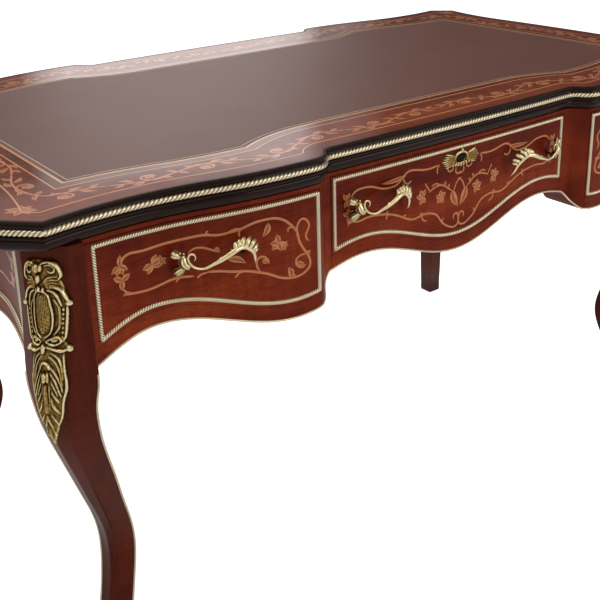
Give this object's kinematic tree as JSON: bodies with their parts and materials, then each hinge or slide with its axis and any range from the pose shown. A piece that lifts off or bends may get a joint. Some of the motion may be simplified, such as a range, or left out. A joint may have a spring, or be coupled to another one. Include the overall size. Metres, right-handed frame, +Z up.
{
  "type": "bureau plat writing desk",
  "caption": "Serpentine flat-topped writing desk with three frieze drawers, cabriole legs, leather top, scroll marquetry and gilt bronze mounts.",
  "frame": {"origin": "on the floor, at the middle of the desk's footprint (bottom centre of its bounding box)", "axes": "+X along the length, +Y from the drawer front to the back, +Z up; the drawers open towards -Y"},
  "size_m": [1.4098, 0.8012, 0.74],
  "materials": {
    "marquetry_veneer": "high gloss lacquered marquetry",
    "leather": "satin",
    "substrate": "unfinished",
    "ebonised": "high gloss",
    "gilt_bronze": "antiqued gilt",
    "mahogany": "high gloss lacquer",
    "black_carcase": "black stained",
    "drawer_wood": "sealed",
    "steel": "brassed steel"
  },
  "bodies": {
    "carcass": {"back_aprons": "mahogany", "back_false_fronts": "mahogany", "back_rope_frames": "gilt_bronze", "back_stiles": "mahogany", "back_top_rail": "mahogany", "corner_blocks": "black_carcase", "drawer_guides": "black_carcase", "drawer_kickers": "black_carcase", "drawer_runners": "black_carcase", "drawer_stops": "black_carcase", "edge_beads": "gilt_bronze", "end_panel_left": "mahogany", "end_panel_right": "mahogany", "end_rope_frames": "gilt_bronze", "front_apron_centre": "mahogany", "front_apron_left": "mahogany", "front_apron_right": "mahogany", "front_stiles": "mahogany", "front_top_rail": "mahogany", "leather_writing_surface": "leather", "leg_back_left": "mahogany", "leg_back_right": "mahogany", "leg_front_left": "mahogany", "leg_front_right": "mahogany", "leg_mounts_back": "gilt_bronze", "leg_mounts_front": "gilt_bronze", "partition_left": "black_carcase", "partition_right": "black_carcase", "top_border_veneer": "marquetry_veneer", "top_core": "substrate", "top_fixing_screws": "steel", "top_moulding_back": "ebonised", "top_moulding_corners": "ebonised", "top_moulding_ends": "ebonised", "top_moulding_front": "ebonised", "top_rope_moulding": "gilt_bronze"},
    "drawer_left": {"drawer_left_back": "drawer_wood", "drawer_left_bottom": "drawer_wood", "drawer_left_front": "mahogany", "drawer_left_handle_screws": "steel", "drawer_left_handles": "gilt_bronze", "drawer_left_rope_frame": "gilt_bronze", "drawer_left_sides": "drawer_wood"},
    "drawer_centre": {"drawer_centre_back": "drawer_wood", "drawer_centre_bottom": "drawer_wood", "drawer_centre_front": "mahogany", "drawer_centre_handle_screws": "steel", "drawer_centre_handles": "gilt_bronze", "drawer_centre_rope_frame": "gilt_bronze", "drawer_centre_sides": "drawer_wood", "escutcheon": "gilt_bronze", "lock_case": "steel"},
    "drawer_right": {"drawer_right_back": "drawer_wood", "drawer_right_bottom": "drawer_wood", "drawer_right_front": "mahogany", "drawer_right_handle_screws": "steel", "drawer_right_handles": "gilt_bronze", "drawer_right_rope_frame": "gilt_bronze", "drawer_right_sides": "drawer_wood"},
    "lock_bolt": {"lock_bolt": "steel"}
  },
  "joints": [
    {"name": "drawer_left_slide", "type": "slide", "parent": "carcass", "child": "drawer_left", "axis": [0, -1, 0], "range_m": [0, 0.36]},
    {"name": "drawer_centre_slide", "type": "slide", "parent": "carcass", "child": "drawer_centre", "axis": [0, -1, 0], "range_m": [0, 0.36]},
    {"name": "drawer_right_slide", "type": "slide", "parent": "carcass", "child": "drawer_right", "axis": [0, -1, 0], "range_m": [0, 0.36]},
    {"name": "lock_bolt_slide", "type": "slide", "parent": "drawer_centre", "child": "lock_bolt", "axis": [0, 0, 1], "range_m": [0, 0.005]}
  ]
}
